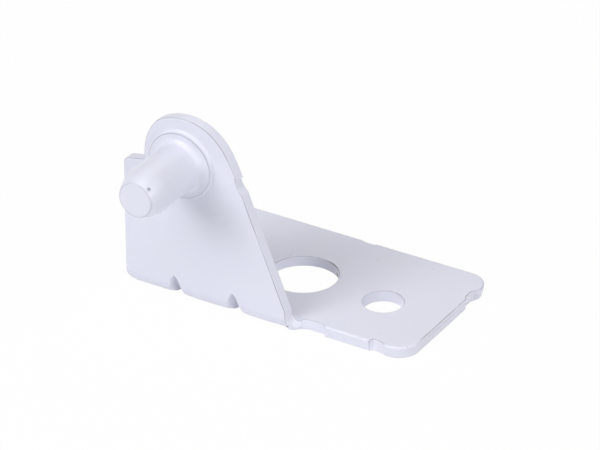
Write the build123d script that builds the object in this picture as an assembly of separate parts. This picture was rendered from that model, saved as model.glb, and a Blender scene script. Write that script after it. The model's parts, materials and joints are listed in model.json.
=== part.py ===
from build123d import *
import math
import os

# Hinge bracket of a fridge door: one folded sheet with a riveted pivot pin.
# X runs along the fold, Y from the flange towards the back of the base plate, Z up.
# Places are measured from the left end, the flange's outer face and the underside,
# and the finished pieces are moved so that the origin is the screw hole's centre.
# All lengths are in millimetres.

# Sheet and fold
sheet = 2.0
bend_inner = 1.0
fold_length = 31.3

# Base plate
base_length = 52.9
base_depth = 30.2
corner_radius = 3.75
corner_step = 0.5

# Relief between the fold's end and the free front edge, which stands forward by a step
relief_length = 5.7
relief_behind_bend = 0.1
relief_step = 0.6
relief_radius = 3.2
relief_sections = 9

# Holes in the base plate
screw_hole_radius = 3.5
screw_hole_from_end = 11.4
screw_hole_y = 14.3
large_hole_radius = 6.0
large_hole_spacing = 15.9
large_hole_offset = 0.8

# Pivot pin
pin_x = 11.4
pin_z = 26.35
pin_radius = 4.15
pin_reach = 14.15
pin_tip_inset = 1.1
pin_tip_length = 4.25
pin_root_radius = 1.1
collar_width = 1.75
collar_height = 0.85

# Riveted end of the pin, hidden at the back of the flange
spigot_step = 1.15
rivet_lip = 1.4
rivet_rim = 0.35
rivet_height = 1.0

# Lug around the pin, a little off the pin's axis and with a flatter left flank
lug_margin = 3.35
lug_offset_x = 0.5
lug_offset_z = -0.75
lug_blend_radius = 18.7
flank_radius = 9.6
flank_trim = 1.5
flank_rise = 1.4

# Shoulder left of the lug
shoulder_drop = 1.25
shoulder_angle = 11.0
shoulder_corner = 0.8
shoulder_fillet = 0.8

# Slanted edge from the lug down to the fold's end
slant_gap = 0.2
slant_foot_rise = 1.05
slant_foot_radius = 3.0

# Stiffening darts pressed into the fold from outside
dart_count = 2
dart_first = 9.4
dart_pitch = 11.4
dart_rise = 1.4
dart_half_width = 0.8
dart_shoulder_width = 3.0
dart_shoulder_depth = 0.5
dart_root_radius = 0.45
dart_wall = 1.6
rib_crest_radius = 1.2
rib_slope = 50.0

# Overlap notches that the punches left in the edges: a steep entry, a floor and a long ramp
notch_ramp = 0.5
notch_curve = 0.8
slant_notch_drop = 1.2
slant_notch_length = 2.7
slant_notch_depth = 0.5
slant_notch_entry = 0.1
front_notch_from_end = 7.2
front_notch_length = 3.4
front_notch_depth = 0.6
front_notch_entry = 0.5
side_notch_from_back = 5.0
side_notch_length = 3.5
side_notch_depth = 0.4
side_notch_entry = 0.6
back_notch_from_end = 21.9
back_notch_length = 3.0
back_notch_depth = 0.3
back_notch_entry = 0.1

# Rim of the two inner faces, rounded where the punch drew the sheet in
rolled_edge = 0.25

# Values that follow from the sizes above
bend_outer = bend_inner + sheet
relief_y = bend_outer + relief_behind_bend
front_edge = relief_y - relief_step
relief_end = fold_length + relief_length
screw_hole_x = base_length - screw_hole_from_end
large_hole_x = screw_hole_x - large_hole_spacing
large_hole_y = screw_hole_y + large_hole_offset
corner_x = base_length + corner_step
side_notch_y = base_depth - side_notch_from_back
corner_run = corner_step * side_notch_entry / side_notch_depth
collar_radius = pin_radius + collar_width
spigot_radius = pin_radius - spigot_step
rivet_radius = spigot_radius + rivet_lip
lug_radius = collar_radius + lug_margin
lug_x = pin_x + lug_offset_x
lug_z = pin_z + lug_offset_z
flank_x = lug_x - lug_radius + flank_trim + flank_radius
flank_z = lug_z + flank_rise
shoulder_z = lug_z - shoulder_drop
slant_foot_z = bend_outer + slant_foot_rise
dart_reach = bend_outer + dart_rise
through_sheet = 4 * sheet
tolerance = 0.001
origin_shift = Location((-screw_hole_x, -screw_hole_y, 0))


def nearest_vertex(outline, x, y):
    """The vertex of a flat outline that is nearest to a point."""
    return outline.vertices().sort_by_distance((x, y, 0))[0]


def slant_directions():
    """Upward and outward directions of the slanted edge, which clears the lug by slant_gap."""
    reach_x = lug_x - fold_length
    reach_z = lug_z - slant_foot_z
    turn = math.asin((lug_radius + slant_gap) / math.hypot(reach_x, reach_z))
    heading = math.atan2(reach_z, reach_x) - turn
    upward = Vector(math.cos(heading), math.sin(heading))
    return upward, Vector(upward.Y, -upward.X)


def lug_blend():
    """Centre and two ends of the arc that leads from the lug into the slanted edge."""
    upward, outward = slant_directions()
    lug_centre = Vector(lug_x, lug_z)
    inset = lug_blend_radius - lug_radius - slant_gap
    drop = math.sqrt((lug_blend_radius - lug_radius) ** 2 - inset**2)
    centre = lug_centre - outward * inset - upward * drop
    lug_end = lug_centre + (lug_centre - centre).normalized() * lug_radius
    slant_start = centre + outward * lug_blend_radius
    return centre, lug_end, slant_start


def flange_outline():
    """Front view of the flange above the bend: shoulder, lug, blend arc and slanted edge."""
    centre, lug_end, slant_start = lug_blend()
    blend_middle = centre + (lug_end + slant_start - centre * 2).normalized() * lug_blend_radius
    shoulder_end = (lug_x, shoulder_z + lug_x * math.tan(math.radians(shoulder_angle)))
    slant_foot = (fold_length, slant_foot_z)

    left_side = Polyline((fold_length, bend_outer), (0, bend_outer), (0, shoulder_z), shoulder_end)
    lug_spoke = Polyline(shoulder_end, (lug_x, lug_z), lug_end)
    blend = ThreePointArc(lug_end, blend_middle, slant_start)
    right_side = Polyline(slant_start, slant_foot, (fold_length, bend_outer))
    outline = make_face(left_side + lug_spoke + blend + right_side)
    outline += (Pos(lug_x, lug_z) * Circle(lug_radius)) & (Pos(flank_x, flank_z) * Circle(flank_radius))
    outline = fillet(nearest_vertex(outline, 0, shoulder_z), shoulder_corner)
    outline = fillet(nearest_vertex(outline, flank_x - flank_radius, shoulder_z), shoulder_fillet)
    return fillet(nearest_vertex(outline, *slant_foot), slant_foot_radius)


def base_outline():
    """Plan of the base plate behind the bend, with the relief's round corner beside the fold."""
    outline = make_face(
        Polyline(
            (0, -relief_radius),
            (0, base_depth),
            (corner_x, base_depth),
            (corner_x, side_notch_y + corner_run),
            (base_length, side_notch_y),
            (base_length, front_edge),
            (relief_end, front_edge),
            (relief_end, relief_y),
            (fold_length, relief_y),
            (fold_length, -relief_radius),
            (0, -relief_radius),
        )
    )
    for corner in ((0, base_depth), (corner_x, base_depth), (base_length, front_edge)):
        outline = fillet(nearest_vertex(outline, *corner), corner_radius)
    outline = fillet(nearest_vertex(outline, fold_length, relief_y), relief_radius)
    bend_zone = Pos(0, bend_outer) * Rectangle(relief_end, base_depth, align=(Align.MIN, Align.MAX))
    return outline - bend_zone


def relief_cutter():
    """Cutter that carries the relief's round corner up the bend, square to the sheet all the way."""
    arc_start = bend_outer * math.pi / 2 + relief_behind_bend - relief_radius
    sections = []
    for number in range(relief_sections + 1):
        turn = math.pi / 2 * number / relief_sections
        past = max(0, bend_outer * turn - arc_start)
        end_x = fold_length + relief_radius - math.sqrt(relief_radius**2 - past**2)
        section_plane = Plane(
            origin=(end_x, bend_outer, bend_outer),
            x_dir=(0, -math.cos(turn), -math.sin(turn)),
            z_dir=(0, -math.sin(turn), math.cos(turn)),
        )
        section = Rectangle(2 * bend_outer, relief_end, align=(Align.MIN, Align.MIN))
        sections.append(section_plane * Pos(bend_inner / 2, 0) * section)
    return loft(sections)


def build_bend():
    """Quarter ring of sheet along the fold, rolled at its left end and trimmed by the relief."""
    ring = Circle(bend_outer) - Circle(bend_inner)
    quarter = ring & Rectangle(bend_outer, bend_outer, align=(Align.MAX, Align.MAX))
    bend = extrude(Plane.YZ * Pos(bend_outer, bend_outer) * quarter, amount=relief_end)
    left_rim = bend.edges().filter_by(GeomType.CIRCLE).group_by(Axis.X)[0]
    bend = fillet(left_rim.sort_by(SortBy.RADIUS)[0], rolled_edge)
    return bend - relief_cutter()


def roll_rim(plate, facing):
    """Rounds the rim of a plate's inner face, except at the seam where the bend carries on."""
    rim = plate.faces().sort_by(facing)[-1].outer_wire().edges()
    rolled = []
    for edge in rim:
        middle = edge.center()
        beside_bend = max(middle.Y, middle.Z) < bend_outer + tolerance
        if not (beside_bend and middle.X < relief_end - tolerance):
            rolled.append(edge)
    return fillet(rolled, rolled_edge)


def edge_notch(length, depth, entry):
    """Cutter for a notch with its steep entry at its origin and its ramp at its far end."""
    ramp_start = length * (1 - notch_ramp)
    outline = make_face(
        Polyline(
            (0, depth),
            (0, 0),
            (entry, -depth),
            (ramp_start, -depth),
            (length, 0),
            (length, depth),
            (0, depth),
        )
    )
    outline = fillet(nearest_vertex(outline, ramp_start, -depth), notch_curve)
    return extrude(outline, amount=through_sheet, both=True)


def notches():
    """The notch cutters, each where it starts, with its Y out of the edge and its X down the ramp."""
    upward = slant_directions()[0]
    slant_start = lug_blend()[2] - upward * slant_notch_drop
    downhill = math.degrees(math.atan2(-upward.Y, -upward.X))
    on_slant = Plane.XZ.location * Pos(slant_start.X, slant_start.Y) * Rot(0, 0, downhill)
    on_front = Pos(base_length - front_notch_from_end, front_edge) * Rot(180, 0, 0)
    on_side = Pos(base_length, side_notch_y) * Rot(0, 0, -90)
    on_back = Pos(base_length - back_notch_from_end, base_depth) * Rot(0, 180, 0)
    return [
        on_slant * edge_notch(slant_notch_length, slant_notch_depth, slant_notch_entry),
        on_front * edge_notch(front_notch_length, front_notch_depth, front_notch_entry),
        on_side * edge_notch(side_notch_length, side_notch_depth, side_notch_entry),
        on_back * edge_notch(back_notch_length, back_notch_depth, back_notch_entry),
    ]


def dart_plane(place):
    """Plane across a dart: its X along the fold, its Y inwards on the diagonal of the corner."""
    return Plane(origin=(place, 0, 0), x_dir=(1, 0, 0), z_dir=(0, -1, 1))


def dart_groove(place):
    """Groove that a dart leaves outside: soft shoulders, and a V with a round root."""
    root = dart_reach / math.sqrt(2)
    skin = bend_outer * (math.sqrt(2) - 1)
    lip = skin + dart_shoulder_depth
    outline = make_face(
        Polyline(
            (-dart_shoulder_width, 0),
            (-dart_shoulder_width, skin),
            (-dart_half_width, lip),
            (0, root),
            (dart_half_width, lip),
            (dart_shoulder_width, skin),
            (dart_shoulder_width, 0),
            (-dart_shoulder_width, 0),
        )
    )
    outline = fillet(nearest_vertex(outline, 0, root), dart_root_radius)
    return extrude(dart_plane(place) * outline, amount=2 * dart_reach, both=True)


def dart_rib(place):
    """Rib that the same dart raises inside the corner, from the middle of the sheet inwards."""
    slope = math.radians(rib_slope)
    crest = dart_reach / math.sqrt(2) + dart_wall
    foot = sheet / math.sqrt(2)
    flank_top_x = rib_crest_radius * math.sin(slope)
    flank_top = crest - rib_crest_radius * (1 - math.cos(slope))
    foot_x = flank_top_x + (flank_top - foot) / math.tan(slope)
    crest_arc = ThreePointArc((-flank_top_x, flank_top), (0, crest), (flank_top_x, flank_top))
    flanks = Polyline((flank_top_x, flank_top), (foot_x, foot), (-foot_x, foot), (-flank_top_x, flank_top))
    rib = extrude(dart_plane(place) * make_face(crest_arc + flanks), amount=crest, both=True)
    room = Box(4 * foot_x, 2 * crest, 2 * crest, align=(Align.CENTER, Align.MIN, Align.MIN))
    return rib & Pos(place, sheet / 2, sheet / 2) * room


def build_bracket():
    """The folded sheet: flange, bend and base in one, with darts, notches and holes."""
    flange = roll_rim(extrude(Plane.XZ * flange_outline(), amount=-sheet), Axis.Y)
    base = roll_rim(extrude(base_outline(), amount=sheet), Axis.Z)
    bracket = flange + base + build_bend()
    for number in range(dart_count):
        place = dart_first + number * dart_pitch
        bracket += dart_rib(place)
        bracket -= dart_groove(place)
    for notch in notches():
        bracket -= notch
    bracket -= Pos(screw_hole_x, screw_hole_y) * Cylinder(screw_hole_radius, through_sheet)
    bracket -= Pos(large_hole_x, large_hole_y) * Cylinder(large_hole_radius, through_sheet)
    bracket -= Pos(pin_x, 0, pin_z) * Rot(90, 0, 0) * Cylinder(spigot_radius, through_sheet)
    return origin_shift * bracket


def build_pin():
    """The turned pin: pivot, root fillet, collar, spigot through the flange and rivet head."""
    rivet_top = -sheet - rivet_height
    rim_edge = -sheet - rivet_rim
    dome_rise = rivet_height - rivet_rim
    dome_radius = (rivet_radius**2 + dome_rise**2) / (2 * dome_rise)
    dome_x = rivet_radius / 2
    dome_y = rivet_top + dome_radius - math.sqrt(dome_radius**2 - dome_x**2)
    root_x = pin_radius + pin_root_radius
    root_y = collar_height + pin_root_radius
    tip_x = pin_radius - pin_tip_inset
    tip_y = pin_reach - pin_tip_length
    tip_curve = (pin_tip_length**2 + pin_tip_inset**2) / (2 * pin_tip_inset)

    dome = ThreePointArc((0, rivet_top), (dome_x, dome_y), (rivet_radius, rim_edge))
    head = Polyline((rivet_radius, rim_edge), (rivet_radius, -sheet), (spigot_radius, -sheet))
    spigot = Polyline((spigot_radius, -sheet), (spigot_radius, 0), (collar_radius, 0))
    collar = Polyline((collar_radius, 0), (collar_radius, collar_height), (root_x, collar_height))
    root = RadiusArc((root_x, collar_height), (pin_radius, root_y), pin_root_radius)
    shank = Line((pin_radius, root_y), (pin_radius, tip_y))
    tip = RadiusArc((pin_radius, tip_y), (tip_x, pin_reach), -tip_curve)
    axis_side = Polyline((tip_x, pin_reach), (0, pin_reach), (0, rivet_top))
    profile = make_face(dome + head + spigot + collar + root + shank + tip + axis_side)
    pin = revolve(profile, axis=Axis.Y)
    return origin_shift * Pos(pin_x, 0, pin_z) * Rot(180, 0, 0) * pin


os.makedirs("parts", exist_ok=True)
export_step(build_bracket(), "parts/bracket.step")
export_step(build_pin(), "parts/hinge_pin.step")
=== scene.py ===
import json
import math
from typing import NamedTuple

import bpy
import numpy as np
from mathutils import Matrix, Vector
from mathutils.geometry import delaunay_2d_cdt


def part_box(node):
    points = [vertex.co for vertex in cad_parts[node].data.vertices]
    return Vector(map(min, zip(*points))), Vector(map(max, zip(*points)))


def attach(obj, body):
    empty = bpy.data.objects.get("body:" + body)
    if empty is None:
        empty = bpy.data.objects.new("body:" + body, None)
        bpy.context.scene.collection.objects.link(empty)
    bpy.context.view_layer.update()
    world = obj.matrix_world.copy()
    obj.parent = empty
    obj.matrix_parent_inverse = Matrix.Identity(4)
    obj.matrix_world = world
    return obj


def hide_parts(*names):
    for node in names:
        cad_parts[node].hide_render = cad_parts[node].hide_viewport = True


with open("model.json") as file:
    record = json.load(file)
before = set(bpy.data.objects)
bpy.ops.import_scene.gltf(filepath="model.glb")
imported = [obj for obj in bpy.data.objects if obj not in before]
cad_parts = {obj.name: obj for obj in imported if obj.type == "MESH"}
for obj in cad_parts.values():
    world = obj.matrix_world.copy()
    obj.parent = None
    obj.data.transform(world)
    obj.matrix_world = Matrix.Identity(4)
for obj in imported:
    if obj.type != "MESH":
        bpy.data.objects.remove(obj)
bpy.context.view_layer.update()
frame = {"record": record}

# The sheet's blank is drawn flat, in millimetres: u runs along the fold from the left end, and s runs
# up the outer face from the top of the bend. Depth is measured from the outer face inwards.
MM = 0.001
mounts = {mount["name"]: mount for mount in frame["record"]["mounts"]}
sheet_low, sheet_high = (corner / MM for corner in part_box("bracket"))
pin_low, pin_high = (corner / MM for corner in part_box("hinge_pin"))

# Sheet and fold
SHEET = mounts["screw_hole"]["dims"]["length_mm"]
BEND_INNER = 1.0
BEND_OUTER = BEND_INNER + SHEET
FOLD_ARC = BEND_OUTER * math.pi / 2
FOLD_LENGTH = 31.3
FLAT_FROM = 35.5

# Base plate
BASE_DEPTH = sheet_high.y - sheet_low.y
CORNER_X = sheet_high.x - sheet_low.x
LOBE_REACH = 0.5
BASE_LENGTH = CORNER_X - LOBE_REACH
CORNER_RADIUS = 3.75
RELIEF_END = FOLD_LENGTH + 5.7
RELIEF_Y = BEND_OUTER + 0.05
RELIEF_RADIUS = 3.2
FRONT_EDGE = 2.45

# Flange: the lug round the pin, the curved flank left of it, the slanted edge and the left shoulder
PIN_X = mounts["hinge_pin"]["pos_m"][0] / MM - sheet_low.x
PIN_Z = mounts["hinge_pin"]["pos_m"][2] / MM
LUG_ASIDE = 0.6
LUG_DROP = 0.75
LUG = Vector((PIN_X + LUG_ASIDE, PIN_Z - LUG_DROP))
LUG_RADIUS = sheet_high.z - LUG.y
FLANK_RADIUS = 9.6
FLANK_INSET = 1.3
FLANK_RISE = 1.0
FLANK_START_RISE = 1.0
FLANK = Vector((LUG.x - LUG_RADIUS + FLANK_INSET + FLANK_RADIUS, LUG.y + FLANK_RISE))
BLEND_RADIUS = 18.7
SLANT_GAP = 0.25
SLANT_FOOT = Vector((FOLD_LENGTH, BEND_OUTER + 0.9))
SLANT_FOOT_RADIUS = 3.0
SHOULDER_Z = LUG.y - 1.25
SHOULDER_ANGLE = math.radians(11)
SHOULDER_CORNER = 1.1
SHOULDER_FILLET = 0.8

# Notches: distance to their start, length, depth, and lengths of the steep entry and of the ramp
SLANT_NOTCH = (1.2, 2.7, 0.5, 0.17, 1.35)
FRONT_NOTCH = (7.2, 3.0, 0.75, 0.35, 1.3)
SIDE_NOTCH = (4.95, 3.3, 0.5, 0.75, 0.9)
BACK_NOTCH = (21.9, 3.0, 0.3, 0.3, 1.5)
NOTCH_CURVE = 0.8
ENTRY_CURVE = 0.15
LOBE_CURVE = 1.3
RELIEF_STEP_REACH = 0.35
RELIEF_STEP_CURVE = 0.9


class Rim(NamedTuple):
    """How a punched edge is shaped, in millimetres, and how thin the paint lies on it, from 0 to 1."""

    taper: float = 0.05  # how far the outer face's rim is drawn in from the inner face's
    outer_curve: float = 0.1
    outer_thin: float = 0.8
    inner_curve: float = 0.3
    inner_thin: float = 0.0
    line: float = 0.0  # a darker line along the upper part of the wall


LEFT_RIM = Rim(taper=0.0)
FLANGE_RIM = Rim(taper=0.24, inner_curve=0.42)
FLANGE_NOTCH_RIM = Rim(taper=0.08)
RELIEF_RIM = Rim(taper=0.0, outer_curve=0.12, outer_thin=0.2, inner_curve=0.1, inner_thin=0.8)
FRONT_RIM = Rim(inner_curve=0.45, inner_thin=0.1)
FRONT_END_RIM = Rim(inner_curve=0.2, inner_thin=0.2)
NOTCH_RIM = Rim(taper=-0.35, outer_curve=0.2, outer_thin=0.2, inner_curve=0.1, inner_thin=1.0)
CORNER_RIM = Rim(inner_curve=0.42)
SIDE_RIM = Rim(taper=0.0, outer_curve=0.15, outer_thin=0.6, inner_curve=0.09, inner_thin=0.8, line=0.4)
SIDE_NOTCH_RIM = SIDE_RIM._replace(line=0.0)
LOBE_RIM = Rim(taper=0.3, inner_curve=0.33, inner_thin=0.3)
BACK_RIM = Rim(taper=0.1, inner_curve=0.35)
HOLE_RIM = Rim(taper=0.1, outer_curve=0.2, outer_thin=0.2, inner_curve=0.1, inner_thin=0.8)
SCREW_HOLE_RIM = HOLE_RIM._replace(taper=-0.12, outer_curve=0.1, outer_thin=0.7)
STREAK_RIM = HOLE_RIM._replace(inner_curve=0.22, inner_thin=0.95)

# Darker streak in the large hole's wall: its middle and its spread round the hole
STREAK_MIDDLE = math.radians(68)
STREAK_SPREAD = math.radians(22)

# How far rims take to pass into the next, and where the flange's begins to pass into the relief's
FADE_LENGTH = 0.8
SIDE_FADE = 3.5
CORNER_RIM_REACH = 0.3
RELIEF_WALL_TOP = -1.0

# Rows of points across a wall, with an extra row beside each of its curves
INNER_CURVE_DEPTH = 0.8
RIM_SUPPORT = 0.14
OUTER_CURVE_ROWS = 5
INNER_CURVE_ROWS = 9
WALL_TAPER = 0.9
WALL_LINE = 0.66
WALL_LINE_WIDTH = 0.07
WALL_SHARES = (0, 0.3, WALL_LINE - WALL_LINE_WIDTH, WALL_LINE, WALL_LINE + WALL_LINE_WIDTH, 1)

# A row of an outline holds u, s, the rim's values and, from this column on, the vector out of the sheet
OUTWARD = 2 + len(Rim._fields)

# Swellings of the bend: place and size along u and s, and the rise of its outer and inner face
SWELLINGS = {
    "right end, outside": (32.6, -3.0, 1.6, 1.3, 0.7, 0.0),
    "right end, inside": (32.1, -3.1, 1.0, 1.15, 0.0, -0.6),
    "right of the darts, outside": (26.0, -2.8, 3.0, 1.3, 0.13, 0.0),
    "between the darts, outside": (15.0, -2.8, 2.5, 1.3, 0.08, 0.0),
    "left end, outside": (-0.4, -2.4, 1.2, 1.5, -0.35, 0.0),
}
SWELLING_FADE_TOP = -2  # from here down, the outer face's rise fades out towards the underside

# The wall at the fold's right end, squeezed out by the bending
END_BULGE = 0.6
END_BULGE_PLACE = -3.2
END_BULGE_SPREAD = 1.9
END_BULGE_DEPTH = 0.9
END_BULGE_FROM = (29, 31)
END_BULGE_TO = (33, 36)

# Darts pressed into the bend: a narrow groove with a round root, in a wider dent deeper on its left
DART_PLACES = (9.4, 20.8)
DART_REACH = BEND_OUTER + 1.4
DART_SLOPE_LEFT = 7.5
DART_SLOPE_RIGHT = 3.6
DART_ROOT_RADIUS = 1.6
DART_BOW = 0.05
DENT_RIGHT = 0.6
DENT_LEFT = 0.8
DENT_SPREAD = 1.5
DENT_CLEARANCE = 0.3
DENT_BLEND = 0.25
GROOVE_BLEND = 0.1
DART_WALL = 1.6
RIB_CREST_RADIUS = 1.2
RIB_SLOPE = math.radians(50)
RIB_BLEND = 0.3
DART_ZONE = 4.0

# Mesh steps in millimetres, the widest step of an arc, the points round each hole, and the shading
EDGE_STEP = 0.8
BEND_STEP = 0.22
BEND_MARGIN = 1.0
COARSE_STEP = 1.3
ARC_STEP = math.radians(7.5)
LARGE_HOLE_POINTS = 132
SCREW_HOLE_POINTS = 84
SMOOTH_ANGLE = math.radians(38)
NORMAL_WEIGHT = 60

# Fine grid over the bend, with closer columns at each dart, and where the coarse grid takes over
COLUMN_STEP = 0.4
DART_COLUMNS_REACH = 3.3
DENT_COLUMNS_FROM = 1.55
DENT_COLUMN_STEP = 0.16
GROOVE_COLUMNS_REACH = 1.4
GROOVE_COLUMN_STEP = 0.07
FINE_ABOVE = 2.5
FINE_BELOW = 2.4
COARSE_ABOVE = 2.8
COARSE_BELOW = 2.7
FIELD_MARGIN = 0.11
MERGE_WITHIN = 1e-5


def down(y):
    """Place along the blank of a point of the base plate at distance y behind the flange's face."""
    return -FOLD_ARC - (y - BEND_OUTER)


def direction(centre, point):
    """Direction in radians from a centre to a point."""
    return math.atan2(point[1] - centre[1], point[0] - centre[0])


def arc(centre, radius, start, end):
    """Points on an arc from one direction to another, both in radians."""
    count = max(3, math.ceil(abs(end - start) / ARC_STEP))
    turns = np.linspace(start, end, count + 1)
    return [(centre.x + radius * math.cos(t), centre.y + radius * math.sin(t), 0) for t in turns]


def round_corners(corners):
    """Replaces each corner (u, s, radius, rim) of a closed outline by an arc, as rows (u, s, rim)."""
    made = []
    for before, corner, after in zip([corners[-1]] + corners[:-1], corners, corners[1:] + corners[:1]):
        here, radius, rim = Vector(corner[:2]), corner[2], corner[3]
        back = (Vector(before[:2]) - here).normalized()
        on = (Vector(after[:2]) - here).normalized()
        half = back.angle(on) / 2
        if radius == 0 or half > math.radians(89):
            made.append((*here, *rim))
            continue
        centre = here + (back + on).normalized() * radius / math.sin(half)
        first = here + back * radius / math.tan(half)
        last = here + on * radius / math.tan(half)
        start = direction(centre, first)
        turn = (direction(centre, last) - start + math.pi) % math.tau - math.pi
        made += [(u, s, *rim) for u, s, _ in arc(centre, radius, start, start + turn)]
    return np.array(made)


def with_outward(rows):
    """Adds to each row the vector that moves it out of the sheet's material by one unit."""
    ahead = np.roll(rows[:, :2], -1, axis=0) - rows[:, :2]
    ahead /= np.linalg.norm(ahead, axis=1)[:, None]
    normal = np.stack([-ahead[:, 1], ahead[:, 0]], axis=1)
    before = np.roll(normal, 1, axis=0)
    outward = (normal + before) / (1 + (normal * before).sum(axis=1))[:, None]
    return np.hstack([rows, outward])


def subdivide(rows):
    """Splits the long stretches of a closed outline, finely where the sheet bends."""
    made = []
    for here, there in zip(rows, np.roll(rows, -1, axis=0)):
        middle = (here[1] + there[1]) / 2
        bends = -FOLD_ARC - BEND_MARGIN < middle < BEND_MARGIN and min(here[0], there[0]) < FLAT_FROM
        step = BEND_STEP if bends else EDGE_STEP
        count = max(1, math.ceil(np.linalg.norm(there[:2] - here[:2]) / step))
        made += [here + (there - here) * number / count for number in range(count)]
    return np.array(made)


def notch(start, along, length, depth, entry, ramp, rims):
    """Corners of a notch on the right-hand side of a heading: steep entry, floor and long ramp."""
    inwards = Vector((along.y, -along.x))
    first, within, last = rims
    steps = (
        (0, 0, 0, first),
        (entry, depth, ENTRY_CURVE, within),
        (length - ramp, depth, NOTCH_CURVE, within),
        (length, 0, NOTCH_CURVE, last),
    )
    return [(*(start + along * ahead + inwards * deep), curve, rim) for ahead, deep, curve, rim in steps]


def slant():
    """Downhill heading of the slanted edge, and the centre and two ends of the arc above it."""
    reach = LUG - SLANT_FOOT
    turn = math.asin((LUG_RADIUS + SLANT_GAP) / reach.length)
    heading = math.atan2(reach.y, reach.x) - turn
    downhill = -Vector((math.cos(heading), math.sin(heading)))
    outwards = Vector((-downhill.y, downhill.x))
    inset = BLEND_RADIUS - LUG_RADIUS - SLANT_GAP
    drop = math.sqrt((BLEND_RADIUS - LUG_RADIUS) ** 2 - inset**2)
    centre = LUG - outwards * inset + downhill * drop
    lug_end = LUG + (LUG - centre).normalized() * LUG_RADIUS
    return downhill, centre, lug_end, centre + outwards * BLEND_RADIUS


def flange_corners():
    """Outline of the flange, up its left side, over the lug and down the slanted edge."""
    downhill, blend, lug_end, slant_start = slant()
    shoulder_x = FLANK.x - FLANK_RADIUS
    shoulder_end = Vector((shoulder_x, SHOULDER_Z + shoulder_x * math.tan(SHOULDER_ANGLE)))
    apart = LUG - FLANK
    along = (FLANK_RADIUS**2 - LUG_RADIUS**2 + apart.length**2) / (2 * apart.length)
    aside = math.sqrt(FLANK_RADIUS**2 - along**2)
    apart.normalize()
    flank_end = FLANK + apart * along + Vector((apart.y, -apart.x)) * aside
    flank_start = math.pi + math.asin((FLANK.y - shoulder_end.y - FLANK_START_RISE) / FLANK_RADIUS)

    left = [(0, SHOULDER_Z, SHOULDER_CORNER), (*shoulder_end, SHOULDER_FILLET)]
    left += arc(FLANK, FLANK_RADIUS, flank_start, direction(FLANK, flank_end))
    over = arc(LUG, LUG_RADIUS, direction(LUG, flank_end), direction(LUG, lug_end))[1:]
    right = arc(blend, BLEND_RADIUS, direction(blend, lug_end), direction(blend, slant_start))[1:]
    corners = [(*corner, LEFT_RIM) for corner in left]
    for number, corner in enumerate(over):
        taper = LEFT_RIM.taper + (FLANGE_RIM.taper - LEFT_RIM.taper) * number / len(over)
        corners.append((*corner, FLANGE_RIM._replace(taper=taper)))
    corners += [(*corner, FLANGE_RIM) for corner in right]
    notch_start = slant_start + downhill * SLANT_NOTCH[0]
    notch_rims = (FLANGE_RIM, FLANGE_NOTCH_RIM, FLANGE_RIM)
    corners += notch(notch_start, downhill, *SLANT_NOTCH[1:], notch_rims)
    corners.append((*SLANT_FOOT, SLANT_FOOT_RADIUS, FLANGE_RIM))
    return [(u, z - BEND_OUTER, radius, rim) for u, z, radius, rim in corners]


def base_corners():
    """Outline of the base plate and of the bend's ends, from the fold's right end round to its left."""
    rightwards, backwards, leftwards = Vector((1, 0)), Vector((0, -1)), Vector((-1, 0))
    front_start = Vector((BASE_LENGTH - FRONT_NOTCH[0], down(FRONT_EDGE)))
    back_start = Vector((BASE_LENGTH - BACK_NOTCH[0], down(BASE_DEPTH)))
    side_y = BASE_DEPTH - SIDE_NOTCH[0]
    side_start = Vector((BASE_LENGTH, down(side_y)))
    lobe_y = side_y + (CORNER_X - BASE_LENGTH) * SIDE_NOTCH[3] / SIDE_NOTCH[2]
    side_rims = (SIDE_NOTCH_RIM, SIDE_NOTCH_RIM, SIDE_RIM)
    side_notch = notch(side_start, -backwards, *SIDE_NOTCH[1:], side_rims)
    side_notch = [(2 * BASE_LENGTH - u, s, curve, rim) for u, s, curve, rim in side_notch[::-1]]
    return [
        (FOLD_LENGTH, RELIEF_WALL_TOP, 0, FLANGE_RIM),
        (FOLD_LENGTH, down(RELIEF_Y), RELIEF_RADIUS, RELIEF_RIM),
        (RELIEF_END - RELIEF_STEP_REACH, down(RELIEF_Y), RELIEF_STEP_CURVE, RELIEF_RIM),
        (RELIEF_END + RELIEF_STEP_REACH, down(FRONT_EDGE), 0, FRONT_END_RIM),
        (RELIEF_END + RELIEF_STEP_REACH + FADE_LENGTH, down(FRONT_EDGE), 0, FRONT_RIM),
        (front_start.x - FADE_LENGTH, down(FRONT_EDGE), 0, FRONT_RIM),
        *notch(front_start, rightwards, *FRONT_NOTCH[1:], (FRONT_END_RIM, NOTCH_RIM, CORNER_RIM)),
        (BASE_LENGTH, down(FRONT_EDGE), CORNER_RADIUS, CORNER_RIM),
        (BASE_LENGTH, down(FRONT_EDGE + CORNER_RADIUS + CORNER_RIM_REACH), 0, CORNER_RIM),
        (BASE_LENGTH, down(FRONT_EDGE + CORNER_RADIUS + SIDE_FADE), 0, SIDE_RIM),
        *side_notch[:-1],
        (CORNER_X, down(lobe_y), LOBE_CURVE, LOBE_RIM),
        (CORNER_X, down(BASE_DEPTH), CORNER_RADIUS, LOBE_RIM),
        *notch(back_start, leftwards, *BACK_NOTCH[1:], (BACK_RIM,) * 3),
        (0, down(BASE_DEPTH), CORNER_RADIUS, BACK_RIM),
        (0, -FOLD_ARC - BEND_MARGIN, 0, BACK_RIM),
        (0, BEND_MARGIN, 0, LEFT_RIM),
    ]


def hole(name, count, rims):
    """Outline of a round hole of the base plate, turned the other way from the blank's."""
    mount = mounts[name]
    centre = Vector(mount["pos_m"]) / MM - sheet_low
    radius = mount["dims"]["r_mm"]
    turns = np.arange(count) * math.tau / count
    rows = np.stack([centre.x + radius * np.cos(turns), down(centre.y) + radius * np.sin(turns)], axis=1)
    return with_outward(np.hstack([rows, rims]))


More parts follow.
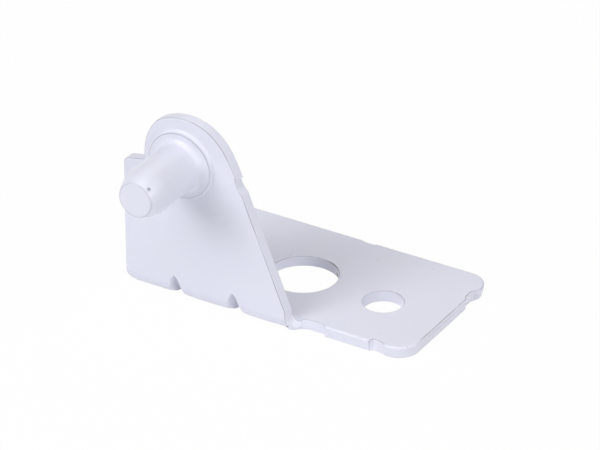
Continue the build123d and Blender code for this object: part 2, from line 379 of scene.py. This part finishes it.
def streaked_rims(count):
    """Rims round the large hole, with a darker streak along the wall at its back right."""
    away = np.arange(count) * math.tau / count + STREAK_MIDDLE
    away = (away + math.pi) % math.tau - math.pi
    share = np.exp(-((away / STREAK_SPREAD) ** 2))[:, None]
    return np.array(HOLE_RIM) * (1 - share) + np.array(STREAK_RIM) * share


def smooth_step(value, low, high):
    """0 below low, 1 above high, and a smooth rise between them."""
    share = np.clip((value - low) / (high - low), 0, 1)
    return share * share * (3 - 2 * share)


def end_bulge(rows):
    """How far the wall at the fold's right end was squeezed out when the sheet was bent."""
    begins = smooth_step(rows[:, 0], *END_BULGE_FROM)
    ends = smooth_step(-rows[:, 0], -END_BULGE_TO[1], -END_BULGE_TO[0])
    return END_BULGE * (begins * ends) * np.exp(-(((rows[:, 1] - END_BULGE_PLACE) / END_BULGE_SPREAD) ** 2))


def wall_rows(rows):
    """Offsets, depths and thin paint of the rows of points across a punched wall, outer face first."""
    rim = Rim(*rows[:, 2:OUTWARD].T)
    taper, outer_curve, inner_curve = rim.taper, rim.outer_curve, rim.inner_curve
    plain = np.zeros(len(rows))
    made = [(-taper - outer_curve - RIM_SUPPORT, plain, plain)]
    for turn in np.linspace(0, math.pi / 2, OUTER_CURVE_ROWS):
        offset = -taper - outer_curve * (1 - math.sin(turn))
        made.append((offset, outer_curve * (1 - math.cos(turn)), rim.outer_thin * math.sin(2 * turn)))
    wall_start = outer_curve + RIM_SUPPORT
    wall_end = SHEET - inner_curve * INNER_CURVE_DEPTH - RIM_SUPPORT
    for share in WALL_SHARES:
        depth = wall_start + (wall_end - wall_start) * share
        made.append((-taper * WALL_TAPER * (1 - share), depth, rim.line * (share == WALL_LINE)))
    for turn in np.linspace(0, math.pi / 2, INNER_CURVE_ROWS):
        rise = inner_curve * INNER_CURVE_DEPTH * (1 - math.sin(turn))
        made.append((-inner_curve * (1 - math.cos(turn)), SHEET - rise, rim.inner_thin * math.sin(2 * turn)))
    made.append((-inner_curve - RIM_SUPPORT, plain + SHEET, plain))
    bulge = end_bulge(rows)
    return [
        (offset + bulge * smooth_step(depth, 0, END_BULGE_DEPTH), depth, thin)
        for offset, depth, thin in made
    ]


def inside(points, loops):
    """Which points lie inside the outline and outside the holes, by counting crossings."""
    crossings = np.zeros(len(points), int)
    for loop in loops:
        for (u0, s0), (u1, s1) in zip(loop, np.roll(loop, -1, axis=0)):
            spans = (s0 > points[:, 1]) != (s1 > points[:, 1])
            if spans.any():
                cross = u0 + (points[:, 1] - s0) / (s1 - s0) * (u1 - u0)
                crossings += spans & (points[:, 0] < cross)
    return crossings % 2 == 1


def far_from(points, loops, margin):
    """Which points lie further than a margin from every loop's stretches."""
    clear = np.ones(len(points), bool)
    for loop in loops:
        for start, end in zip(loop, np.roll(loop, -1, axis=0)):
            along = end - start
            share = np.clip((points - start) @ along / (along @ along), 0, 1)
            gap = np.linalg.norm(points - start - share[:, None] * along, axis=1)
            clear &= gap > margin
    return clear


def bend_columns():
    """Places along the fold of the fine grid's columns, which lie closer together at each dart."""
    columns = list(np.arange(COLUMN_STEP, FOLD_LENGTH + RELIEF_RADIUS, COLUMN_STEP))
    groove_end = GROOVE_COLUMNS_REACH + GROOVE_COLUMN_STEP / 2
    for place in DART_PLACES:
        columns = [u for u in columns if abs(u - place) > DART_COLUMNS_REACH]
        columns += list(place + np.arange(-GROOVE_COLUMNS_REACH, groove_end, GROOVE_COLUMN_STEP))
        reaches = np.arange(DENT_COLUMNS_FROM, DART_COLUMNS_REACH, DENT_COLUMN_STEP)
        columns += [place + side * reach for side in (-1, 1) for reach in reaches]
    return columns


def field_points(loops):
    """Inner points of a face: a fine grid round the bend and its darts, and a coarse one elsewhere."""
    fine_rows = np.arange(-FOLD_ARC - FINE_BELOW, FINE_ABOVE, BEND_STEP)
    fine = np.array([(u, s) for u in bend_columns() for s in fine_rows])
    grid = np.array([
        (u, s)
        for u in np.arange(COARSE_STEP / 2, CORNER_X, COARSE_STEP)
        for s in np.arange(down(BASE_DEPTH), sheet_high.z, COARSE_STEP)
    ])
    above = grid[:, 1] > COARSE_ABOVE
    below = grid[:, 1] < -FOLD_ARC - COARSE_BELOW
    beside = grid[:, 0] > FOLD_LENGTH + RELIEF_RADIUS
    points = np.concatenate([fine, grid[above | below | beside]])
    points = points[inside(points, loops)]
    return points[far_from(points, loops, FIELD_MARGIN)]


def triangles(loops, points):
    """Triangles over the inside of the loops, as numbers into the loops' points and then the others."""
    everything = np.concatenate(loops + [points])
    edges, first = [], 0
    for loop in loops:
        count = len(loop)
        edges += [(first + number, first + (number + 1) % count) for number in range(count)]
        first += count
    within_constraints = 1
    places = [Vector(point) for point in everything.tolist()]
    made = delaunay_2d_cdt(places, edges, [], within_constraints, MERGE_WITHIN)
    origin = [sources[0] for sources in made[3]]
    faces = np.array([[origin[v] for v in face] for face in made[2]])
    in_hole = inside(everything[faces].mean(axis=1), loops[1:])
    return faces[~in_hole]


def swell(points, depths):
    """Moves the depths of points where the bend swelled or sank, at its ends and beside its darts."""
    moved = depths.copy()
    near_outer = np.clip(1 - depths / SHEET, 0, 1)
    above_floor = smooth_step(points[:, 1], -FOLD_ARC, SWELLING_FADE_TOP)
    for u, s, wide, long, outer_rise, inner_rise in SWELLINGS.values():
        share = np.exp(-(((points[:, 0] - u) / wide) ** 2) - ((points[:, 1] - s) / long) ** 2)
        moved += share * (inner_rise * (1 - near_outer) - outer_rise * near_outer * above_floor)
    return moved


def fold(points, depths):
    """Bends points of the flat blank, each at its depth in the sheet, into the finished shape."""
    u, s = points[:, 0], points[:, 1]
    turn = np.clip(-s / BEND_OUTER, 0, math.pi / 2)
    along_base = np.maximum(0, -s - FOLD_ARC)
    radius = BEND_OUTER - depths
    y = BEND_OUTER - radius * np.cos(turn) + along_base
    z = BEND_OUTER - radius * np.sin(turn) + np.maximum(0, s)
    flat = u > FLAT_FROM
    y[flat] = BEND_OUTER - s[flat] - FOLD_ARC
    z[flat] = depths[flat]
    return np.stack([u, y, z], axis=1)


def soft_max(first, second, blend):
    """The larger of two values, with a smooth change from one to the other."""
    share = np.clip(0.5 + (second - first) / (2 * blend), 0, 1)
    return first + (second - first) * share + blend * share * (1 - share)


def press_darts(shape, depths):
    """Presses the darts' grooves into the outer face and raises their ribs on the inner face."""
    skin = BEND_OUTER * (math.sqrt(2) - 1)
    root = DART_REACH / math.sqrt(2)
    crest = root + DART_WALL
    flank_x = RIB_CREST_RADIUS * math.sin(RIB_SLOPE)
    flank_top = crest - RIB_CREST_RADIUS * (1 - math.cos(RIB_SLOPE))
    outer = np.clip(1 - depths / (SHEET / 2), 0, 1)
    diagonal = (shape[:, 1] + shape[:, 2]) / math.sqrt(2)
    across = (shape[:, 1] - shape[:, 2]) / math.sqrt(2)
    deepest = root + DART_BOW * np.maximum(0, root**2 - across**2)
    moved = diagonal.copy()
    for place in DART_PLACES:
        beside = shape[:, 0] - place
        aside = np.abs(beside)
        slope = np.where(beside > 0, DART_SLOPE_RIGHT, DART_SLOPE_LEFT)
        groove = deepest - slope * (np.hypot(aside, DART_ROOT_RADIUS) - DART_ROOT_RADIUS)
        dent_depth = np.where(beside > 0, DENT_RIGHT, DENT_LEFT)
        dent_share = np.exp(-((aside / DENT_SPREAD) ** 2))
        dent = skin - DENT_CLEARANCE + (DENT_CLEARANCE + dent_depth) * dent_share
        pressed = soft_max(soft_max(diagonal, dent, DENT_BLEND), groove, GROOVE_BLEND)
        round_crest = crest - RIB_CREST_RADIUS + np.sqrt(np.maximum(0, RIB_CREST_RADIUS**2 - aside**2))
        straight = flank_top - (aside - flank_x) * math.tan(RIB_SLOPE)
        raised = soft_max(diagonal, np.where(aside < flank_x, round_crest, straight), RIB_BLEND)
        near = aside < DART_ZONE
        change = outer * (pressed - diagonal) + (1 - outer) * (raised - diagonal)
        moved += np.where(near, change, 0)
    shape[:, 1:] += ((moved - diagonal) / math.sqrt(2))[:, None]
    return shape


def make_object(name, shape, faces, thin):
    """A smooth mesh object from points in millimetres from the bracket's low corner."""
    mesh = bpy.data.meshes.new(name)
    placed = (shape + np.array(sheet_low)) * MM
    mesh.from_pydata(placed.tolist(), [], faces)
    mesh.validate()
    layer = mesh.attributes.new("thin", "FLOAT", "POINT")
    layer.data.foreach_set("value", np.asarray(thin, np.float32))
    made = bpy.data.objects.new(name, mesh)
    bpy.context.scene.collection.objects.link(made)
    bpy.context.view_layer.objects.active = made
    bpy.ops.object.select_all(action="DESELECT")
    made.select_set(True)
    bpy.ops.object.mode_set(mode="EDIT")
    bpy.ops.mesh.select_all(action="SELECT")
    bpy.ops.mesh.normals_make_consistent(inside=False)
    bpy.ops.object.mode_set(mode="OBJECT")
    bpy.ops.object.shade_smooth_by_angle(angle=SMOOTH_ANGLE)
    weighted = made.modifiers.new("weighted_normals", "WEIGHTED_NORMAL")
    weighted.keep_sharp = True
    weighted.weight = NORMAL_WEIGHT
    return made


def wall_faces(first, count, rows):
    """Faces between the rows of points of a wall that closes round, numbered from its first point."""
    return [
        (low + here, low + there, low + count + there, low + count + here)
        for low in range(first, first + (rows - 1) * count, count)
        for here, there in zip(range(count), [*range(1, count), 0])
    ]


def build_bracket():
    """The folded sheet as one closed mesh: two faces and a punched wall along each outline."""
    outline = subdivide(with_outward(round_corners(flange_corners() + base_corners())))
    large_hole = hole("large_hole", LARGE_HOLE_POINTS, streaked_rims(LARGE_HOLE_POINTS))
    screw_hole = hole("screw_hole", SCREW_HOLE_POINTS, np.tile(SCREW_HOLE_RIM, (SCREW_HOLE_POINTS, 1)))
    points, depths, thin, faces = [], [], [], []
    outer_rims, inner_rims, outer_index, inner_index = [], [], [], []
    total = 0
    for loop in (outline, large_hole, screw_hole):
        count = len(loop)
        made = []
        for offset, depth, mark in wall_rows(loop):
            made.append(loop[:, :2] + loop[:, OUTWARD:] * offset[:, None])
            depths.append(depth)
            thin.append(mark)
        points += made
        faces += wall_faces(total, count, len(made))
        outer_rims.append(made[0])
        inner_rims.append(made[-1])
        outer_index.append(total + np.arange(count))
        inner_index.append(total + (len(made) - 1) * count + np.arange(count))
        total += count * len(made)
    for rims, index, depth in ((outer_rims, outer_index, 0), (inner_rims, inner_index, SHEET)):
        field = field_points(rims)
        numbers = np.concatenate(index + [total + np.arange(len(field))])
        faces += [tuple(int(v) for v in face) for face in numbers[triangles(rims, field)]]
        points.append(field)
        depths.append(np.full(len(field), float(depth)))
        thin.append(np.zeros(len(field)))
        total += len(field)
    points, depths = np.concatenate(points), np.concatenate(depths)
    shape = press_darts(fold(points, swell(points, depths)), depths)
    return make_object("painted_bracket", shape, faces, np.concatenate(thin))


# Pin, collar and rivet head: distances along the axis are counted from the flange's face outwards
PIN_RADIUS = mounts["hinge_pin"]["dims"]["r_mm"]
COLLAR_RADIUS = (pin_high.x - pin_low.x) / 2
COLLAR_HEIGHT = 0.85
COLLAR_FOOT = 0.5
COLLAR_CURVE = 0.07
COLLAR_THIN = 0.5
PIN_REACH = sheet_low.y - pin_low.y
TIP_INSET = 1.1
TIP_LENGTH = 4.25
TIP_CURVE = 0.12
TIP_THIN = 0.22
ROOT_RADIUS = 1.1
SPIGOT_RADIUS = 3.0
RIVET_RADIUS = 4.4
RIVET_RIM = 0.35
RIVET_HEIGHT = pin_high.y - sheet_low.y - SHEET
PIN_TURNS = 160

# Small steps of the pin's profile: how deep it is sunk into the sheet, its extra rings and its bevel
SUNK = 0.1
RIVET_SUNK = 0.05
RIVET_RING = 0.1
RIVET_BEVEL = 0.04
END_RING = 1.5
SHANK_RING = 2.5
TIP_STEP = 0.03
TIP_TURN_STEP = 2.2
DOME_TURN_STEP = 0.6
ON_AXIS = 1e-6


def sweep(centre, radius, start, end, count, thin=0.0):
    """Points (along the axis, radius, thin paint) of a profile's arc, from angle to angle in degrees."""
    turns = np.radians(np.linspace(start, end, count + 1))
    return [(centre[0] + radius * math.sin(t), centre[1] + radius * math.cos(t), thin) for t in turns]


def tip_profile():
    """Half section of the pin's rounded tip and of its shank down to the collar."""
    tip_radius = (TIP_LENGTH**2 + TIP_INSET**2) / (2 * TIP_INSET)
    tip_turn = math.degrees(math.asin(TIP_LENGTH / tip_radius))
    tip_start = PIN_REACH - TIP_LENGTH
    end_radius = PIN_RADIUS - TIP_INSET
    end_curve = (PIN_REACH - TIP_CURVE, end_radius - TIP_CURVE + TIP_STEP)
    profile = [(PIN_REACH, 0, 0), (PIN_REACH, END_RING, 0)]
    profile += [(PIN_REACH, end_radius - TIP_CURVE - RIM_SUPPORT, 0)]
    profile += sweep(end_curve, TIP_CURVE, 90, tip_turn, 4, TIP_THIN)
    profile += sweep((tip_start, PIN_RADIUS - tip_radius), tip_radius, tip_turn - TIP_TURN_STEP, 0, 14)
    profile += [(tip_start - SHANK_RING, PIN_RADIUS, 0)]
    return profile


def collar_profile():
    """Half section of the fillet at the shank's root and of the collar with the paint at its foot."""
    root = (COLLAR_HEIGHT + ROOT_RADIUS, PIN_RADIUS + ROOT_RADIUS)
    profile = sweep(root, ROOT_RADIUS, 180, 270, 10)
    profile += [(COLLAR_HEIGHT, COLLAR_RADIUS - COLLAR_CURVE - RIM_SUPPORT, 0)]
    edge = (COLLAR_HEIGHT - COLLAR_CURVE, COLLAR_RADIUS - COLLAR_CURVE)
    profile += sweep(edge, COLLAR_CURVE, 90, 0, 4, COLLAR_THIN)
    profile += [(COLLAR_HEIGHT - COLLAR_CURVE - RIM_SUPPORT, COLLAR_RADIUS, 0)]
    profile += sweep((COLLAR_FOOT, COLLAR_RADIUS + COLLAR_FOOT), COLLAR_FOOT, 180, 270, 6)
    return profile


def rivet_profile():
    """Half section from under the collar, through the sheet, to the middle of the rivet head."""
    profile = [(-SUNK, COLLAR_RADIUS, 0), (-SUNK, SPIGOT_RADIUS, 0), (SUNK - SHEET, SPIGOT_RADIUS, 0)]
    profile += [(RIVET_SUNK - SHEET, RIVET_RADIUS, 0), (-SHEET - RIVET_RING, RIVET_RADIUS, 0)]
    profile += [(RIVET_RING - SHEET - RIVET_RIM, RIVET_RADIUS, 0)]
    profile += [(-SHEET - RIVET_RIM, RIVET_RADIUS - RIVET_BEVEL, 0)]
    dome_rise = RIVET_HEIGHT - RIVET_RIM
    dome_radius = (RIVET_RADIUS**2 + dome_rise**2) / (2 * dome_rise)
    dome_turn = math.degrees(math.asin(RIVET_RADIUS / dome_radius))
    dome_centre = (dome_radius - SHEET - RIVET_HEIGHT, 0)
    profile += sweep(dome_centre, dome_radius, -90 + dome_turn - DOME_TURN_STEP, -90, 12)
    return profile


def build_pin():
    """The turned pin, revolved about the hinge's axis."""
    turns = np.arange(PIN_TURNS) * math.tau / PIN_TURNS
    points, thin, faces, rings = [], [], [], []
    for along, radius, mark in tip_profile() + collar_profile() + rivet_profile():
        count = PIN_TURNS if radius > ON_AXIS else 1
        rings.append((len(points), count))
        for turn in turns[:count]:
            points.append((PIN_X + radius * math.cos(turn), -along, PIN_Z + radius * math.sin(turn)))
            thin.append(mark)
    for (first, count), (second, following) in zip(rings, rings[1:]):
        for here in range(PIN_TURNS):
            there = (here + 1) % PIN_TURNS
            near = (first + here % count, first + there % count)
            far = (second + there % following, second + here % following)
            faces.append(tuple(dict.fromkeys(near + far)))
    return make_object("painted_pin", np.array(points), faces, thin)


bracket = build_bracket()
pin = build_pin()
for piece, node in ((bracket, "bracket"), (pin, "hinge_pin")):
    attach(piece, "root")
    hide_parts(node)

# Paint
PAINT_COOL = (0.738, 0.757, 0.875)
PAINT_WARM = (0.762, 0.762, 0.862)
BLOTCH_SCALE = 220.0
# Dark colour for thin paint and bare marks, also used for the painted shade on the notches' step walls
THIN_PAINT_AND_SHADE = (0.12, 0.12, 0.135)
WEAR_SCALE = 160.0
WEAR_DETAIL = 2.0
WEAR_GAIN = 2.0
WEAR_OFFSET = -0.15
PEEL_SCALE = 700
PEEL_DETAIL = 1.5
PEEL_HEIGHT = 0.00002
BARE_HEIGHT = -3.0

# Marks in the paint, in millimetres from the screw hole's centre: place, radius and how bare they are
MARKS = {
    "chip on the pin's tip": ((-27.74, -27.7, 28.85), 0.29, 0.7),
    "speck below the chip": ((-27.45, -27.95, 28.4), 0.07, 0.25),
    "speck on the pin": ((-27.61, -24.74, 29.65), 0.08, 0.18),
    "speck on the tip's rim": ((-26.9, -28.15, 26.58), 0.1, 0.4),
    "speck at the slanted notch": ((-19.83, -14.27, 26.39), 0.14, 0.6),
    "end of the burr": ((-10.17, -13.78, 1.2), 0.17, 0.75),
    "corner of the front notch": ((4.2, -11.8, 1.85), 0.13, 0.75),
    "corner of the relief's step": ((-4.6, -11.4, 1.8), 0.12, 0.6),
    "spot on the front corner": ((10.58, -10.23, 1.9), 0.12, 0.4),
    "flaw in the large hole": ((-12.05, 5.47, 0.75), 0.42, 0.85),
    "dimple by the large hole": ((-21.02, 5.18, 2.0), 0.22, 0.12),
    "dimple between the holes": ((-7.57, 11.32, 2.0), 0.3, 0.07),
    "dimple at the back": ((1.99, 13.59, 2.0), 0.4, 0.05),
    "dimple at the side": ((8.99, 5.24, 2.0), 0.14, 0.14),
    "dimple at the front": ((4.55, -8.93, 2.0), 0.3, 0.06),
}
# Painted shade: upright dark lines on the steep step walls of the notches and the relief's step, which lie
# in shade; place, width and strength
PAINTED_STEP_SHADE = {
    "front notch": ((4.2, -11.85, 0.0), 0.06, 0.6),
    "relief's step": ((-4.75, -11.35, 0.0), 0.05, 0.22),
    "side notch": ((11.33, 11.05, 0.0), 0.07, 0.4),
}
MARK_EDGE = 0.2
MARK_WANDER = 0.15
MARK_WANDER_SCALE = 2500.0


class Nodes:
    """Short names for making and linking the nodes of one material or world."""

    def __init__(self, tree):
        self.tree = tree
        tree.nodes.clear()

    def add(self, kind, inputs=(), **settings):
        """A new node; each input is set to a value or linked from a socket."""
        node = self.tree.nodes.new(kind)
        for name, value in settings.items():
            setattr(node, name, value)
        for name, value in dict(inputs).items():
            if isinstance(value, bpy.types.NodeSocket):
                self.tree.links.new(value, node.inputs[name])
            else:
                node.inputs[name].default_value = value
        return node

    def math(self, operation, *values, clamp=False):
        """The result of a math node."""
        node = self.add("ShaderNodeMath", dict(enumerate(values)), operation=operation, use_clamp=clamp)
        return node.outputs[0]

    def mix(self, share, first, second):
        """A mix of two colours."""
        node = self.add("ShaderNodeMix", {0: share, 6: first, 7: second}, data_type="RGBA")
        return node.outputs[2]


def distance(nodes, position, place):
    """Distance in millimetres from a place to each point of the surface."""
    node = nodes.add("ShaderNodeVectorMath", {0: position, 1: place}, operation="DISTANCE")
    return node.outputs["Value"]


def marks(nodes, place):
    """How thin the paint lies at its marks, and painted shade on upright lines at the steep step walls of
    the notches and the relief's step.
    """
    noise = nodes.add("ShaderNodeTexNoise", {"Vector": place, "Scale": MARK_WANDER_SCALE})
    wander = {0: noise.outputs["Color"], 3: MARK_WANDER}
    wander = nodes.add("ShaderNodeVectorMath", wander, operation="SCALE").outputs[0]
    position = nodes.add("ShaderNodeVectorMath", {0: place, 3: 1 / MM}, operation="SCALE").outputs[0]
    flat = nodes.add("ShaderNodeVectorMath", {0: position, 1: (1, 1, 0)}, operation="MULTIPLY").outputs[0]
    position = nodes.add("ShaderNodeVectorMath", {0: position, 1: wander}).outputs[0]
    total = 0.0
    for start, spots in ((position, MARKS.values()), (flat, PAINTED_STEP_SHADE.values())):
        for centre, radius, strength in spots:
            away = distance(nodes, start, centre)
            mask = nodes.math("MULTIPLY_ADD", away, -1 / MARK_EDGE, 0.5 + radius / MARK_EDGE, clamp=True)
            total = nodes.math("MAXIMUM", total, nodes.math("MULTIPLY", mask, strength))
    return total


def paint_material():
    """Glossy white enamel with a slight peel, thinner and darker along the sharp punched edges, with painted
    shade on the step walls of the notches and the relief.
    """
    material = bpy.data.materials.new("white_enamel")
    material.use_nodes = True
    nodes = Nodes(material.node_tree)
    place = nodes.add("ShaderNodeTexCoord").outputs["Object"]
    thin = nodes.add("ShaderNodeAttribute", attribute_name="thin").outputs["Fac"]
    wobble = {"Vector": place, "Scale": WEAR_SCALE, "Detail": WEAR_DETAIL}
    wobble = nodes.add("ShaderNodeTexNoise", wobble).outputs["Fac"]
    uneven = nodes.math("MULTIPLY_ADD", wobble, WEAR_GAIN, WEAR_OFFSET, clamp=True)
    # Darkening from thin paint on the edges and from the marks, plus the painted shade on the step walls
    worn_and_shaded = nodes.math("MAXIMUM", nodes.math("MULTIPLY", thin, uneven), marks(nodes, place))
    blotch = nodes.add("ShaderNodeTexNoise", {"Vector": place, "Scale": BLOTCH_SCALE}).outputs["Fac"]
    colour = nodes.mix(blotch, (*PAINT_COOL, 1), (*PAINT_WARM, 1))
    colour = nodes.mix(worn_and_shaded, colour, (*THIN_PAINT_AND_SHADE, 1))
    peel = {"Vector": place, "Scale": PEEL_SCALE, "Detail": PEEL_DETAIL}
    peel = nodes.add("ShaderNodeTexNoise", peel).outputs["Fac"]
    height = nodes.math("MULTIPLY_ADD", worn_and_shaded, BARE_HEIGHT, peel)
    bump = nodes.add("ShaderNodeBump", {"Height": height, "Distance": PEEL_HEIGHT, "Strength": 1.0})
    shader = nodes.add("ShaderNodeBsdfPrincipled", {
        "Base Color": colour,
        "Roughness": 0.38,
        "Specular IOR Level": 0.5,
        "Coat Weight": 0.35,
        "Coat Roughness": 0.16,
        "Normal": bump.outputs["Normal"],
    }).outputs[0]
    nodes.add("ShaderNodeOutputMaterial", {"Surface": shader})
    return material


paint = paint_material()
for piece in (bracket, pin):
    piece.data.materials.append(paint)

# Floor and light; each lamp has its heading from the part, its distance, size and level
FLOOR_SIZE = 6
FLOOR_COLOUR = (0.92, 0.92, 0.93, 1)
FLOOR_LIFT = 0.97
WORLD_LEVEL = 0.04
LAMPS = {
    "key": ((-0.7, -1.0, 0.75), 0.9, 0.32, 0.19),
    "key_soft": ((-0.5, -1.0, 0.8), 0.9, 0.5, 0.32),
    "fill_low": ((1.0, -0.45, 0.35), 1.0, 0.6, 0.3),
    "fill_high": ((0.8, 0.1, 0.6), 1.0, 0.8, 0.22),
    "top_front": ((0.0, -0.3, 1.0), 1.0, 0.8, 0.34),
    "top_back": ((-0.3, 0.6, 1.0), 1.0, 0.8, 0.15),
}


def seen_as_background(nodes):
    """1 for the rays that show the surroundings themselves, and 0 for those that light the part."""
    path = nodes.add("ShaderNodeLightPath").outputs
    seen = nodes.math("MAXIMUM", path["Is Camera Ray"], path["Is Glossy Ray"])
    return nodes.math("MAXIMUM", seen, path["Is Transmission Ray"])


def build_floor():
    """A pale floor that the camera and reflections see as white, apart from the part's soft shadow."""
    bpy.ops.mesh.primitive_plane_add(size=FLOOR_SIZE)
    floor = bpy.context.object
    floor.name = "floor"
    material = bpy.data.materials.new("pale_floor")
    material.use_nodes = True
    nodes = Nodes(material.node_tree)
    share = nodes.math("MULTIPLY", seen_as_background(nodes), FLOOR_LIFT)
    plain = nodes.add("ShaderNodeBsdfDiffuse", {"Color": FLOOR_COLOUR}).outputs[0]
    white = nodes.add("ShaderNodeEmission", {"Color": (1, 1, 1, 1), "Strength": 1.0}).outputs[0]
    mixed = nodes.add("ShaderNodeMixShader", {0: share, 1: plain, 2: white}).outputs[0]
    nodes.add("ShaderNodeOutputMaterial", {"Surface": mixed})
    floor.data.materials.append(material)


def build_world():
    """Even white surroundings, at full white where the camera or a reflection sees them."""
    world = bpy.data.worlds.new("studio")
    bpy.context.scene.world = world
    world.use_nodes = True
    nodes = Nodes(world.node_tree)
    strength = nodes.math("MULTIPLY_ADD", seen_as_background(nodes), 1 - WORLD_LEVEL, WORLD_LEVEL)
    background = nodes.add("ShaderNodeBackground", {"Color": (1, 1, 1, 1), "Strength": strength}).outputs[0]
    nodes.add("ShaderNodeOutputWorld", {"Surface": background})


def add_lamp(name, heading, away, size, level):
    """A square soft lamp aimed at the part; level is how bright it alone would render a white card."""
    data = bpy.data.lights.new(name, "AREA")
    data.size = size
    data.energy = level * math.pi**2 * away**2
    lamp = bpy.data.objects.new(name, data)
    bpy.context.scene.collection.objects.link(lamp)
    towards = Vector(heading).normalized()
    lamp.matrix_world = towards.to_track_quat("Z", "Y").to_matrix().to_4x4()
    lamp.location = towards * away


build_floor()
build_world()
for name, settings in LAMPS.items():
    add_lamp(name, *settings)

# Camera, from the angle, distance and aim that the photo was taken with
AZIMUTH = math.radians(31.006)
ELEVATION = math.radians(30.004)
DISTANCE = 720.0
AIM_RIGHT, AIM_UP = 29.116, 9.878
LENS = 257.07
SENSOR_WIDTH = 36
CLIP_START = 0.01
CLIP_END = 20


def place_camera():
    """A long lens from the front right, looking down at the part."""
    right = Vector((math.cos(AZIMUTH), math.sin(AZIMUTH), 0))
    back = Vector((
        math.sin(AZIMUTH) * math.cos(ELEVATION),
        -math.cos(AZIMUTH) * math.cos(ELEVATION),
        math.sin(ELEVATION),
    ))
    up = back.cross(right)
    data = bpy.data.cameras.new("camera")
    data.lens = LENS
    data.sensor_width = SENSOR_WIDTH
    data.clip_start = CLIP_START
    data.clip_end = CLIP_END
    camera = bpy.data.objects.new("camera", data)
    bpy.context.scene.collection.objects.link(camera)
    place = (sheet_low + right * AIM_RIGHT + up * AIM_UP + back * DISTANCE) * MM
    camera.matrix_world = Matrix.Translation(place) @ Matrix((right, up, back)).transposed().to_4x4()
    bpy.context.scene.camera = camera


place_camera()
bpy.context.scene.view_settings.view_transform = "Standard"
